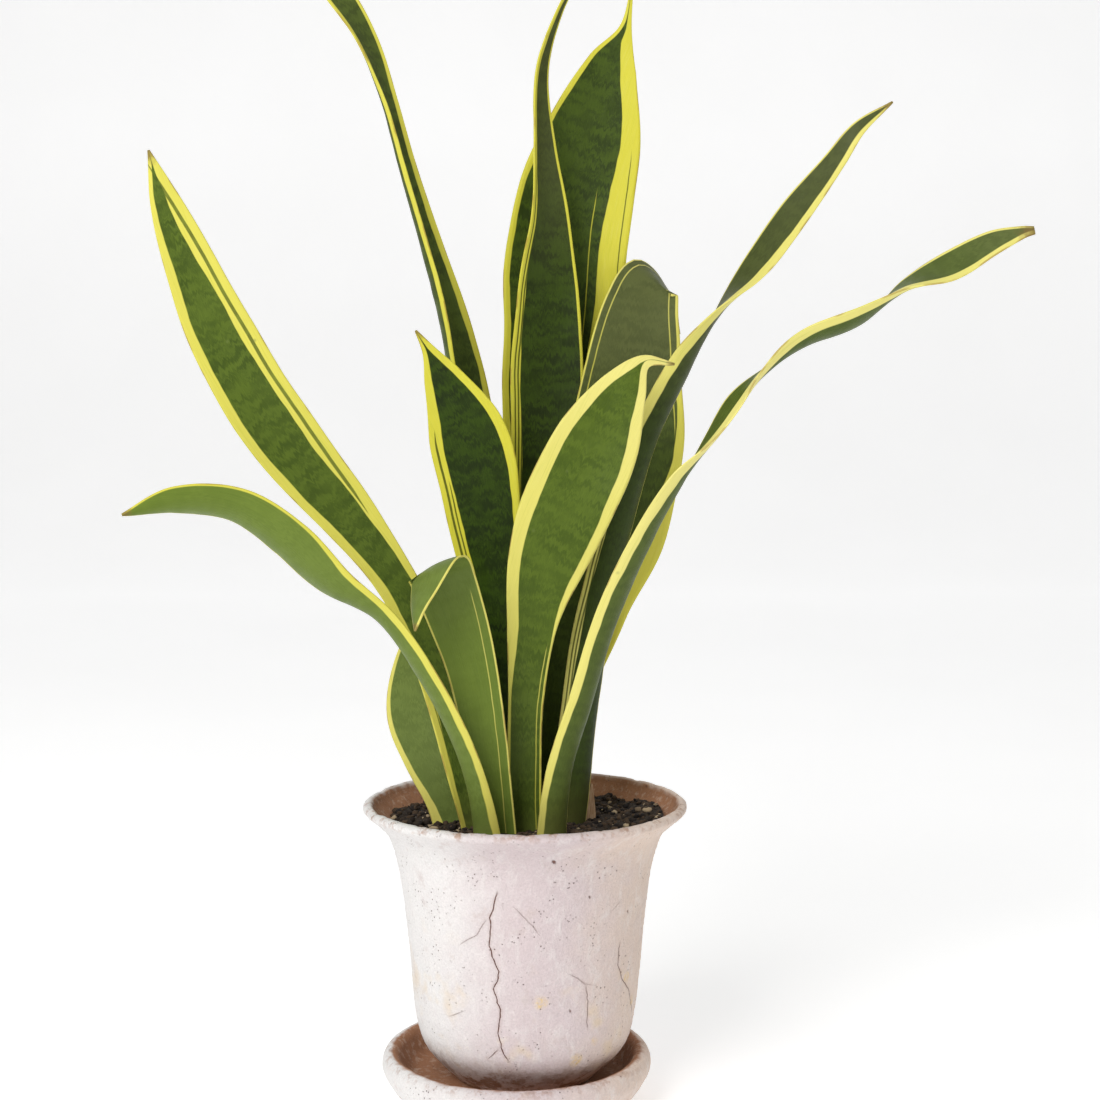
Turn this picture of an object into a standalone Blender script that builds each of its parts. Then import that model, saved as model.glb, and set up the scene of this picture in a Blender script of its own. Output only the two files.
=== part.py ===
"""Potted snake plant: twelve sword leaves in soil, in a flared clay pot on a clay saucer.

Metres, +Z up. The origin is the centre of the saucer's underside, and the plant's
best side faces -Y. Lengths in the tables below are millimetres.
"""
import math

import bmesh
import bpy
from mathutils import Matrix, Vector

MM = 0.001
FIT_GAP = 0.3                     # clearance between pieces that touch
TURNED_SIDES = 48                 # facets round the pot and the saucer

# The pot stands a little to the right of the saucer's middle.
POT_AXIS = (5.0, 0.0)
SAUCER_FLOOR = 17.0
POT_FOOT = SAUCER_FLOOR + FIT_GAP
POT_HEIGHT = 153.5
RIM_TOP = POT_FOOT + POT_HEIGHT
POT_FLOOR_THICKNESS = 10.0
DRAIN_RADIUS = 10.0

# Radius of the pot's outside, and depth below the rim's top, from the rim to the foot.
POT_OUTSIDE = (
    (87.5, 0.0), (89.6, 1.2), (90.0, 3.0), (87.5, 5.5), (84.0, 8.5), (80.0, 12.0), (77.0, 15.5),
    (74.8, 20.0), (72.2, 28.0), (69.9, 39.0), (67.5, 56.0), (65.5, 78.0), (63.4, 100.0),
    (61.7, 116.0), (59.6, 127.0), (57.3, 133.5), (53.6, 139.0), (48.6, 144.6), (43.2, 149.5),
    (38.5, POT_HEIGHT),
)

# The same for the inside, from the edge of the floor up to the rim's lip.
POT_INSIDE = (
    (40.0, POT_HEIGHT - POT_FLOOR_THICKNESS), (46.0, 138.0), (50.6, 128.0), (54.6, 100.0),
    (57.0, 78.0), (59.3, 56.0), (61.8, 39.0), (65.0, 27.0), (70.6, 17.0), (77.6, 10.0), (82.6, 5.0),
    (84.8, 1.4),
)

# Saucer outline: radius and height, from the middle of the underside to the lip and
# back down to the middle of the floor.
SAUCER_OUTLINE = (
    (0.0, 0.0), (56.0, 0.0), (59.5, 1.2), (63.5, 4.5), (69.0, 10.5), (73.5, 17.5), (75.4, 22.5),
    (74.8, 27.0), (72.0, 30.2), (68.6, 30.4), (65.8, 27.6), (63.5, 23.0), (60.0, 18.6),
    (56.0, SAUCER_FLOOR), (0.0, SAUCER_FLOOR),
)

SOIL_TOP = 160.0
SOIL_RADIUS = 75.0                # where the soil's surface meets the wall
SOIL_SHOULDER = 4.0               # the wall's last ring is at least this far below the surface
SOIL_RINGS = 7
SOIL_SIDES = 36

LEAF_COLUMNS = 4                  # facets across one face of a leaf
LEAF_STEP = 19.0                  # distance between sections along a leaf
TIGHT_STEPS = {"leaf_folded_tip": 9.0, "leaf_rear_arched": 14.0}
LEAF_EDGE = 0.9                   # thickness at the margins
LEAF_MIDDLE = 3.2                 # thickness at the middle of the blade
LEAF_BASE_EXTRA = 1.8             # the blade is this much thicker where it leaves the soil
BASE_LENGTH = 120.0               # over this length the extra thickness fades out
LEAF_TIP = 0.5                    # least half width, at the very tip
LEAST_CUP = 4.0                   # a blade's section is never flatter than this arc
SOCKET_CLEARANCE = 0.6            # soil stands back from a leaf by this much
SOCKET_TOP = 175.0                # cutters for the soil end above its surface

# Each leaf is a smooth curve through these stations, from the buried base to the tip:
# x, y, z of the middle of the blade, half width, turn of the face about the blade
# (0 faces the front, + turns towards +X), and cup (half the arc of its cross section).
LEAVES = {
    "leaf_far_left": (
        (-15, -24, 138, 8.5, 0, 50), (-27, -26, 195, 11, 4, 42), (-43, -30, 251, 11, 6, 34),
        (-63, -35, 296, 11, 8, 28), (-90, -39, 334, 15, 8, 24), (-121, -43, 373, 18.5, 8, 22),
        (-147, -46, 415, 18, 6, 20), (-167, -49, 460, 14, 4, 18), (-180, -52, 495, 8, 2, 14),
        (-188, -54, 521, 0.6, 0, 8),
    ),
    "leaf_low_left": (
        (-12, -46, 138, 8, -10, -50), (-19, -50, 183, 7.6, -36, -42), (-30, -57, 218, 8.4, -50, -38),
        (-47, -66, 252, 9.4, -52, -34), (-67, -75, 282, 8.8, -46, -30), (-93, -83, 301, 13.2, -34, -28),
        (-113, -91, 322, 14.6, -30, -28), (-137, -98, 339, 13.4, -32, -28),
        (-166, -106, 342.5, 10.2, -30, -22), (-191, -113, 336, 0.6, -20, -8),
    ),
    "leaf_folded_tip": (
        (-7, -36, 138, 9, 0, 46), (-11, -40, 179, 10, 0, 38), (-16, -45, 216, 11.5, 0, 30),
        (-22, -50, 250, 13.2, 0, 24), (-30, -55, 280, 15.5, 0, 18), (-37, -59, 300, 17, 0, 12),
        (-40, -67, 306, 17, 0, 8), (-44, -74, 300, 15.5, 0, 8), (-48, -78, 288, 8.5, 0, 8),
        (-50, -81, 275, 0.6, 0, 6),
    ),
    "leaf_short_left": (
        (-28, -12, 138, 11, -6, 46), (-36, -12, 172, 13, -12, 38), (-47, -11, 199, 16, -16, 32),
        (-55, -9, 223, 16.8, -16, 26), (-56, -6, 249, 11.5, -12, 20), (-51, -2, 281, 0.6, -8, 8),
    ),
    "leaf_mid_left": (
        (-7, -12, 138, 9, 0, 48), (-9, -12, 195, 10, -4, 40), (-11, -13, 249, 12, -8, 32),
        (-14, -14, 297, 16, -10, 26), (-18, -15, 339, 21.5, -12, 22), (-26, -16, 376, 21.5, -12, 20),
        (-39, -18, 405, 11, -10, 16), (-46, -21, 419, 4, -8, 12), (-53, -25, 430, 0.6, -8, 8),
    ),
    "leaf_tall_thin": (
        (-23, 20, 138, 8, 0, 50), (-21, 22, 226, 11, 20, 46), (-22, 26, 313, 15.7, 40, 48),
        (-26, 29, 378, 18, 58, 56), (-35, 31, 431, 16, 68, 62), (-48, 33, 478, 11.5, 70, 64),
        (-62, 35, 525, 8.5, 70, 64), (-72, 36, 561, 7.5, 64, 58), (-85, 38, 596, 8.6, 48, 40),
        (-102, 38, 623, 8, 24, 22), (-127, 38, 651, 0.6, 0, 8),
    ),
    "leaf_centre_twisted": (
        (-6, 10, 138, 8, 0, 48), (0, 14, 212, 11, 0, 40), (8, 21, 289, 14.5, -2, 32),
        (14, 27, 351, 17.5, 0, 26), (17, 30, 408, 20.4, 6, 26), (17, 30, 454, 18, 18, 30),
        (18, 30, 495, 13, 34, 36), (15, 29, 535, 9.2, 48, 40), (14, 28, 576, 6, 58, 36),
        (24, 27, 609, 3, 56, 24), (42, 27, 640, 0.6, 50, 8),
    ),
    "leaf_tall_rear": (
        (5, 28, 138, 10, 0, 48), (11, 36, 211, 17, 0, 36), (17, 45, 293, 24.5, 0, 26),
        (22, 50, 369, 30.4, 0, 20), (26, 52, 436, 34, 0, 18), (30, 53, 492, 34.4, 0, 18),
        (42, 54, 540, 29, 0, 16), (54, 54, 584, 14.8, 0, 14), (62, 54, 606, 3.5, 0, 10),
        (66, 54, 632, 0.6, 0, 8),
    ),
    "leaf_rear_arched": (
        (18, 6, 138, 9, 0, 48), (21, 7, 182, 12.6, 0, 38), (27, 9, 234, 17, 2, 30),
        (38, 11, 279, 24.5, 4, 22), (53, 14, 323, 31, 4, 18), (62, 20, 373, 32, 4, 16),
        (66, 26, 417, 26.5, 4, 16), (71, 33, 447, 21, 4, 16), (77, 42, 462, 17, 4, 14),
        (85, 51, 458, 12, 4, 12), (91, 57, 445, 5, 4, 10), (94, 59, 432, 0.6, 4, 8),
    ),
    "leaf_front_broad": (
        (6, -26, 138, 8.5, 0, 44), (5, -28, 190, 9, -2, 38), (6, -31, 233, 9.5, -4, 32),
        (9, -34, 270, 13, -6, 26), (16, -38, 305, 20.2, -8, 20), (30, -41, 341, 24.4, -8, 18),
        (45, -40, 373, 22, -6, 16), (58, -37, 399, 12.8, -4, 14), (69, -34, 413, 4, 0, 12),
        (85, -30, 412, 0.6, 0, 8),
    ),
    "leaf_right_upper": (
        (27, -10, 138, 9, 0, -46), (33, -10, 201, 10.5, 14, -44), (42, -9, 266, 11, 26, -42),
        (56, -7, 325, 10.5, 32, -40), (70, -5, 370, 9.6, 34, -36), (90, -3, 411, 9.4, 46, -32),
        (110, -3, 441, 10.4, 88, -20), (129, -5, 463, 11.4, 126, -14), (150, -7, 492, 10.6, 140, -16),
        (172, -9, 521, 7, 146, -16), (185, -10, 539, 4.2, 160, -12), (203, -10, 553, 0.6, 180, -8),
    ),
    "leaf_right_long": (
        (18, -44, 138, 8, 10, -50), (24, -48, 194, 8.2, 32, -42), (37, -54, 239, 9, 44, -38),
        (50, -61, 282, 9.8, 48, -36), (68, -68, 323, 9.6, 52, -32), (85, -74, 353, 9.6, 66, -26),
        (100, -79, 373, 10.5, 94, -18), (112, -83, 391, 10.5, 104, -14), (125, -86, 406, 10, 82, -14),
        (145, -90, 422, 9.6, 58, -18), (172, -94, 433, 10.5, 58, -18), (194, -97, 448, 10, 92, -14),
        (215, -99, 457, 10.5, 124, -16), (236, -102, 469, 7.4, 134, -14), (250, -103, 474, 3.6, 140, -10),
        (256, -104, 475, 2.2, 140, -8),
    ),
}

DRY_SHEATH = (
    (40, -2, 140, 3.0, 20, 30), (41, -2, 160, 3.4, 24, 34), (41.5, -1, 172, 2.2, 30, 30),
    (42, 0, 180, 0.5, 34, 10),
)

CLAY_WHITE = ((0.78, 0.74, 0.72), 0.9)
CLAY_CREAM = ((0.76, 0.70, 0.63), 0.9)
SOIL_DARK = ((0.02, 0.012, 0.008), 0.95)
BLADE_GREEN = ((0.05, 0.14, 0.02), 0.4)
SHEATH_TAN = ((0.35, 0.2, 0.1), 0.8)


def clear_scene():
    """Empty the scene of whatever it holds."""
    for thing in list(bpy.data.objects):
        bpy.data.objects.remove(thing, do_unlink=True)


def finish_material(name, finish):
    """A plain dielectric with the finish's colour and roughness."""
    colour, roughness = finish
    material = bpy.data.materials.new(name)
    material.use_nodes = True
    shader = material.node_tree.nodes["Principled BSDF"]
    shader.inputs["Base Color"].default_value = (*colour, 1.0)
    shader.inputs["Roughness"].default_value = roughness
    shader.inputs["Metallic"].default_value = 0.0
    return material


def add_piece(name, shape, finish, sharp_angle=40.0):
    """Put a finished bmesh in the scene as one smooth-shaded, named piece."""
    mesh = bpy.data.meshes.new(name)
    shape.to_mesh(mesh)
    shape.free()
    piece = bpy.data.objects.new(name, mesh)
    bpy.context.scene.collection.objects.link(piece)
    mesh.materials.append(finish_material(name + "_finish", finish))
    mesh.shade_smooth()
    mesh.set_sharp_from_angle(angle=math.radians(sharp_angle))
    return piece


def turn_outline(outline, axis, closed):
    """Spin an outline of (radius, height) points into a solid round a vertical axis."""
    shape = bmesh.new()
    centre = Vector((axis[0], axis[1], 0.0)) * MM
    points = [shape.verts.new(centre + Vector((radius, 0.0, height)) * MM) for radius, height in outline]
    edges = [shape.edges.new(pair) for pair in zip(points, points[1:])]
    if closed:
        edges.append(shape.edges.new((points[-1], points[0])))
    bmesh.ops.spin(shape, geom=points + edges, cent=centre, axis=(0, 0, 1), angle=math.tau,
                   steps=TURNED_SIDES, use_merge=True)
    bmesh.ops.remove_doubles(shape, verts=shape.verts, dist=1e-6)
    bmesh.ops.recalc_face_normals(shape, faces=shape.faces)
    return shape


def below_rim(outline):
    """Turn (radius, depth below the rim) points into (radius, height) points."""
    return [(radius, RIM_TOP - depth) for radius, depth in outline]


def make_pot():
    """The flared clay pot, open at the top and with a drainage hole in its floor."""
    floor = POT_FOOT + POT_FLOOR_THICKNESS
    outline = below_rim(POT_OUTSIDE) + [(DRAIN_RADIUS, POT_FOOT), (DRAIN_RADIUS, floor)]
    outline += below_rim(POT_INSIDE)
    return add_piece("pot", turn_outline(outline, POT_AXIS, closed=True), CLAY_WHITE)


def make_saucer():
    """The thick clay saucer, one turned solid."""
    return add_piece("saucer", turn_outline(SAUCER_OUTLINE, (0.0, 0.0), closed=False), CLAY_CREAM)


def blend(a, b, t):
    """The value a fraction t of the way from a to b."""
    return a + (b - a) * t


def smooth_curve(keys, t):
    """Values at t (0 to the number of spans) on a smooth curve through the keys."""
    distance = [0.0]
    for a, b in zip(keys, keys[1:]):
        distance.append(distance[-1] + (Vector(b[:3]) - Vector(a[:3])).length)
    span = min(int(t), len(keys) - 2)
    local = t - span
    length = distance[span + 1] - distance[span]

    def slope(i, channel):
        first, last = max(i - 1, 0), min(i + 1, len(keys) - 1)
        return (keys[last][channel] - keys[first][channel]) / (distance[last] - distance[first])

    values = []
    for channel in range(len(keys[0])):
        a, b = keys[span][channel], keys[span + 1][channel]
        rise_a, rise_b = slope(span, channel) * length, slope(span + 1, channel) * length
        values.append((2 * local**3 - 3 * local**2 + 1) * a + (local**3 - 2 * local**2 + local) * rise_a
                      + (3 * local**2 - 2 * local**3) * b + (local**3 - local**2) * rise_b)
    return values


def blade_stations(keys, step):
    """Stations about one step apart along a leaf: middle, along, face normal, half width, cup."""
    fine = 24 * (len(keys) - 1)
    samples = [smooth_curve(keys, (len(keys) - 1) * i / fine) for i in range(fine + 1)]
    middles = [Vector(sample[:3]) for sample in samples]
    travelled = [0.0]
    for a, b in zip(middles, middles[1:]):
        travelled.append(travelled[-1] + (b - a).length)
    count = max(4, round(travelled[-1] / step))
    wanted = [travelled[-1] * i / count for i in range(count + 1)]

    stations = []
    normal = Vector((0.0, -1.0, 0.0))
    for i, middle in enumerate(middles):
        along = (middles[min(i + 1, fine)] - middles[max(i - 1, 0)]).normalized()
        normal = (normal - along * normal.dot(along)).normalized()
        if len(stations) <= count and travelled[i] >= wanted[len(stations)] - 1e-6:
            half_width, turn, cup = samples[i][3:6]
            face = Matrix.Rotation(math.radians(turn), 3, along) @ normal
            cup = math.copysign(max(abs(cup), LEAST_CUP), cup)
            stations.append((middle, along, face, max(half_width, LEAF_TIP), math.radians(cup),
                             travelled[i]))
    return stations


def blade_section(station, grow):
    """The front and back rows of points of one leaf section."""
    middle, along, face, half_width, cup, travelled = station
    across = along.cross(face)
    arc_radius = (half_width + grow) / math.sin(cup)
    half_rise = arc_radius * (1.0 - math.cos(cup)) / 2
    extra = LEAF_BASE_EXTRA * max(0.0, 1.0 - travelled / BASE_LENGTH)
    body = min(LEAF_MIDDLE + extra, LEAF_EDGE + 0.35 * half_width)
    front, back = [], []
    for column in range(LEAF_COLUMNS + 1):
        u = 2.0 * column / LEAF_COLUMNS - 1.0
        side, rise = math.sin(cup * u), 1.0 - math.cos(cup * u)
        point = middle + across * (arc_radius * side) + face * (arc_radius * rise - half_rise)
        out = face * math.cos(cup * u) - across * side
        thickness = blend(body, LEAF_EDGE, u * u) / 2 + grow
        front.append((point + out * thickness) * MM)
        back.append((point - out * thickness) * MM)
    return front, back


def blade_solid(stations, grow=0.0):
    """One closed leaf: its sections joined round, with both ends capped."""
    shape = bmesh.new()
    rings = []
    for station in stations:
        front, back = blade_section(station, grow)
        rings.append([shape.verts.new(point) for point in front + back[::-1]])
    for lower, upper in zip(rings, rings[1:]):
        for i in range(len(lower)):
            j = (i + 1) % len(lower)
            shape.faces.new((lower[i], lower[j], upper[j], upper[i]))
    for ring in (rings[0], rings[-1]):
        for column in range(LEAF_COLUMNS):
            other = len(ring) - 1 - column
            shape.faces.new((ring[column], ring[column + 1], ring[other - 1], ring[other]))
    bmesh.ops.recalc_face_normals(shape, faces=shape.faces)
    return shape


def make_leaf(name, keys, finish, step):
    """One leaf or sheath piece."""
    return add_piece(name, blade_solid(blade_stations(keys, step)), finish, sharp_angle=60.0)


def soil_height(x, y):
    """Height of the crumbly surface: low mounds, and a bank against the rim on the right."""
    ripples = 1.1 * math.sin(0.11 * x + 0.7) * math.cos(0.09 * y - 0.4) + 0.7 * math.sin(0.21 * x - 0.17 * y)
    bank = 4.0 * max(0.0, (x - 50.0) / 24.0) ** 2
    return SOIL_TOP + ripples + min(bank, 4.0)


def soil_loop(shape, radius, height_at):
    """One ring of points round the pot's axis, its height given by height_at(x, y)."""
    loop = []
    for side in range(SOIL_SIDES):
        angle = math.tau * side / SOIL_SIDES
        x, y = POT_AXIS[0] + radius * math.cos(angle), POT_AXIS[1] + radius * math.sin(angle)
        loop.append(shape.verts.new(Vector((x, y, height_at(x, y))) * MM))
    return loop


def make_soil(cutters):
    """Soil filling the pot, its surface uneven, with a socket for every leaf base."""
    floor = POT_FOOT + POT_FLOOR_THICKNESS + FIT_GAP
    wall = [(radius - 2 * FIT_GAP, max(height, floor)) for radius, height in below_rim(POT_INSIDE)]
    wall = [point for point in wall if point[1] < SOIL_TOP - SOIL_SHOULDER]
    shape = bmesh.new()
    loops = [soil_loop(shape, radius, lambda x, y, z=height: z) for radius, height in wall]
    loops.append(soil_loop(shape, SOIL_RADIUS, lambda x, y: SOIL_TOP))
    for ring in range(1, SOIL_RINGS):
        loops.append(soil_loop(shape, SOIL_RADIUS * (1.0 - ring / SOIL_RINGS), soil_height))
    for lower, upper in zip(loops, loops[1:]):
        for i in range(SOIL_SIDES):
            j = (i + 1) % SOIL_SIDES
            shape.faces.new((lower[i], lower[j], upper[j], upper[i]))
    shape.faces.new(loops[0])
    shape.faces.new(loops[-1])
    bmesh.ops.recalc_face_normals(shape, faces=shape.faces)
    soil = add_piece("soil", shape, SOIL_DARK)
    for cutter in cutters:
        cut = soil.modifiers.new(cutter.name, 'BOOLEAN')
        cut.operation = 'DIFFERENCE'
        cut.solver = 'EXACT'
        cut.object = cutter
    return soil


def make_socket_cutter(name, keys):
    """The buried part of a leaf, a little fatter, to cut its socket in the soil."""
    stations = [station for station in blade_stations(keys, 12.0) if station[0].z < SOCKET_TOP]
    middle, along, face, half_width, cup, travelled = stations[0]
    stations[0] = (middle - along * SOCKET_CLEARANCE, along, face, half_width, cup, travelled)
    shape = blade_solid(stations, grow=SOCKET_CLEARANCE)
    cutter = add_piece("socket_" + name, shape, SOIL_DARK)
    cutter.hide_render = True
    cutter.display_type = 'WIRE'
    return cutter


def main():
    """Build every piece."""
    clear_scene()
    make_saucer()
    make_pot()
    cutters = []
    for name, keys in LEAVES.items():
        make_leaf(name, keys, BLADE_GREEN, TIGHT_STEPS.get(name, LEAF_STEP))
        cutters.append(make_socket_cutter(name, keys))
    make_leaf("dry_sheath", DRY_SHEATH, SHEATH_TAN, step=7.0)
    cutters.append(make_socket_cutter("dry_sheath", DRY_SHEATH))
    make_soil(cutters)


main()
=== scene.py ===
"""Looks of the potted snake plant: striped leaves, whitewashed clay, soil, and a pale stage.

Lengths in the tables are millimetres; objects are built in metres at the origin.
"""
import math
import random

import bmesh
import bpy
from mathutils import Matrix, Vector, noise


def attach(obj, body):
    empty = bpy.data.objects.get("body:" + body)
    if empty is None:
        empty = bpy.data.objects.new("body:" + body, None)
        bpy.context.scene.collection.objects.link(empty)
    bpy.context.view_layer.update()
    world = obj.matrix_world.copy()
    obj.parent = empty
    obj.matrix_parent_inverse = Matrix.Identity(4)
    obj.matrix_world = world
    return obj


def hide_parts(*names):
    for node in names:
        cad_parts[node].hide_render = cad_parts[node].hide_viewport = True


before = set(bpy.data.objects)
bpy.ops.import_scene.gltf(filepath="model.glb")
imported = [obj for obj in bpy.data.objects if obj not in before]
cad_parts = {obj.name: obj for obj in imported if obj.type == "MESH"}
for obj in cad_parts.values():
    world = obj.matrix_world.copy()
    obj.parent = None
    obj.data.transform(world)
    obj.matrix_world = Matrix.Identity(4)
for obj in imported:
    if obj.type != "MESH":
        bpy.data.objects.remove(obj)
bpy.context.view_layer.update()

bl_info = {
    "name": "Potted Snake Plant",
    "version": (1, 0, 0),
    "blender": (4, 5, 0),
    "location": "3D View > Sidebar > Snake Plant",
    "description": "Models the leaves, pot, saucer and soil of a potted snake plant",
    "category": "Object",
}

MM = 0.001

# Leaf stations: x, y, z of the blade's middle, half width, turn of the face, and cup.
LEAVES = {
    "leaf_far_left": (
        (-15, -24, 138, 8.5, 0, 50), (-27, -26, 195, 11, 4, 42), (-43, -30, 251, 11, 6, 34),
        (-63, -35, 296, 11, 8, 28), (-90, -39, 334, 15, 8, 24), (-121, -43, 373, 18.5, 8, 22),
        (-147, -46, 415, 18, 6, 20), (-167, -49, 460, 14, 4, 18), (-180, -52, 495, 8, 2, 14),
        (-188, -54, 521, 0.6, 0, 8),
    ),
    "leaf_low_left": (
        (-12, -46, 138, 8, -10, -50), (-19, -50, 183, 7.6, -36, -42), (-30, -57, 218, 8.4, -50, -38),
        (-47, -66, 252, 9.4, -52, -34), (-67, -75, 282, 8.8, -46, -30), (-93, -83, 301, 13.2, -34, -28),
        (-113, -91, 322, 14.6, -30, -28), (-137, -98, 339, 13.4, -32, -28),
        (-166, -106, 342.5, 10.2, -30, -22), (-191, -113, 336, 0.6, -20, -8),
    ),
    "leaf_folded_tip": (
        (-7, -36, 138, 9, 0, 46), (-11, -40, 179, 10, 0, 38), (-16, -45, 216, 11.5, 0, 30),
        (-22, -50, 250, 13.2, 0, 24), (-30, -55, 280, 15.5, 0, 18), (-37, -59, 300, 17, 0, 12),
        (-40, -67, 306, 17, 0, 8), (-44, -74, 300, 15.5, 0, 8), (-48, -78, 288, 8.5, 0, 8),
        (-50, -81, 275, 0.6, 0, 6),
    ),
    "leaf_short_left": (
        (-28, -12, 138, 11, -6, 46), (-36, -12, 172, 13, -12, 38), (-47, -11, 199, 16, -16, 32),
        (-55, -9, 223, 16.8, -16, 26), (-56, -6, 249, 11.5, -12, 20), (-51, -2, 281, 0.6, -8, 8),
    ),
    "leaf_mid_left": (
        (-7, -12, 138, 9, 0, 48), (-9, -12, 195, 10, -4, 40), (-11, -13, 249, 12, -8, 32),
        (-14, -14, 297, 16, -10, 26), (-18, -15, 339, 21.5, -12, 22), (-26, -16, 376, 21.5, -12, 20),
        (-39, -18, 405, 11, -10, 16), (-46, -21, 419, 4, -8, 12), (-53, -25, 430, 0.6, -8, 8),
    ),
    "leaf_tall_thin": (
        (-23, 20, 138, 8, 0, 50), (-21, 22, 226, 11, 20, 46), (-22, 26, 313, 15.7, 40, 48),
        (-26, 29, 378, 18, 58, 56), (-35, 31, 431, 16, 68, 62), (-48, 33, 478, 11.5, 70, 64),
        (-62, 35, 525, 8.5, 70, 64), (-72, 36, 561, 7.5, 64, 58), (-85, 38, 596, 8.6, 48, 40),
        (-102, 38, 623, 8, 24, 22), (-127, 38, 651, 0.6, 0, 8),
    ),
    "leaf_centre_twisted": (
        (-6, 10, 138, 8, 0, 48), (0, 14, 212, 11, 0, 40), (8, 21, 289, 14.5, -2, 32),
        (14, 27, 351, 17.5, 0, 26), (17, 30, 408, 20.4, 6, 26), (17, 30, 454, 18, 18, 30),
        (18, 30, 495, 13, 34, 36), (15, 29, 535, 9.2, 48, 40), (14, 28, 576, 6, 58, 36),
        (24, 27, 609, 3, 56, 24), (42, 27, 640, 0.6, 50, 8),
    ),
    "leaf_tall_rear": (
        (5, 28, 138, 10, 0, 48), (11, 36, 211, 17, 0, 36), (17, 45, 293, 24.5, 0, 26),
        (22, 50, 369, 30.4, 0, 20), (26, 52, 436, 34, 0, 18), (30, 53, 492, 34.4, 0, 18),
        (42, 54, 540, 29, 0, 16), (54, 54, 584, 14.8, 0, 14), (62, 54, 606, 3.5, 0, 10),
        (66, 54, 632, 0.6, 0, 8),
    ),
    "leaf_rear_arched": (
        (18, 6, 138, 9, 0, 48), (21, 7, 182, 12.6, 0, 38), (27, 9, 234, 17, 2, 30),
        (38, 11, 279, 24.5, 4, 22), (53, 14, 323, 31, 4, 18), (62, 20, 373, 32, 4, 16),
        (66, 26, 417, 26.5, 4, 16), (71, 33, 447, 21, 4, 16), (77, 42, 462, 17, 4, 14),
        (85, 51, 458, 12, 4, 12), (91, 57, 445, 5, 4, 10), (94, 59, 432, 0.6, 4, 8),
    ),
    "leaf_front_broad": (
        (6, -26, 138, 8.5, 0, 44), (5, -28, 190, 9, -2, 38), (6, -31, 233, 9.5, -4, 32),
        (9, -34, 270, 13, -6, 26), (16, -38, 305, 20.2, -8, 20), (30, -41, 341, 24.4, -8, 18),
        (45, -40, 373, 22, -6, 16), (58, -37, 399, 12.8, -4, 14), (69, -34, 413, 4, 0, 12),
        (85, -30, 412, 0.6, 0, 8),
    ),
    "leaf_right_upper": (
        (27, -10, 138, 9, 0, -46), (33, -10, 201, 10.5, 14, -44), (42, -9, 266, 11, 26, -42),
        (56, -7, 325, 10.5, 32, -40), (70, -5, 370, 9.6, 34, -36), (90, -3, 411, 9.4, 46, -32),
        (110, -3, 441, 10.4, 88, -20), (129, -5, 463, 11.4, 126, -14), (150, -7, 492, 10.6, 140, -16),
        (172, -9, 521, 7, 146, -16), (185, -10, 539, 4.2, 160, -12), (203, -10, 553, 0.6, 180, -8),
    ),
    "leaf_right_long": (
        (18, -44, 138, 8, 10, -50), (24, -48, 194, 8.2, 32, -42), (37, -54, 239, 9, 44, -38),
        (50, -61, 282, 9.8, 48, -36), (68, -68, 323, 9.6, 52, -32), (85, -74, 353, 9.6, 66, -26),
        (100, -79, 373, 10.5, 94, -18), (112, -83, 391, 10.5, 104, -14), (125, -86, 406, 10, 82, -14),
        (145, -90, 422, 9.6, 58, -18), (172, -94, 433, 10.5, 58, -18), (194, -97, 448, 10, 92, -14),
        (215, -99, 457, 10.5, 124, -16), (236, -102, 469, 7.4, 134, -14), (250, -103, 474, 3.6, 140, -10),
        (256, -104, 475, 2.2, 140, -8),
    ),
}
DRY_SHEATH = (
    (40, -2, 140, 3.0, 20, 30), (41, -2, 160, 3.4, 24, 34), (41.5, -1, 172, 2.2, 30, 30),
    (42, 0, 180, 0.5, 34, 10),
)

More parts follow.
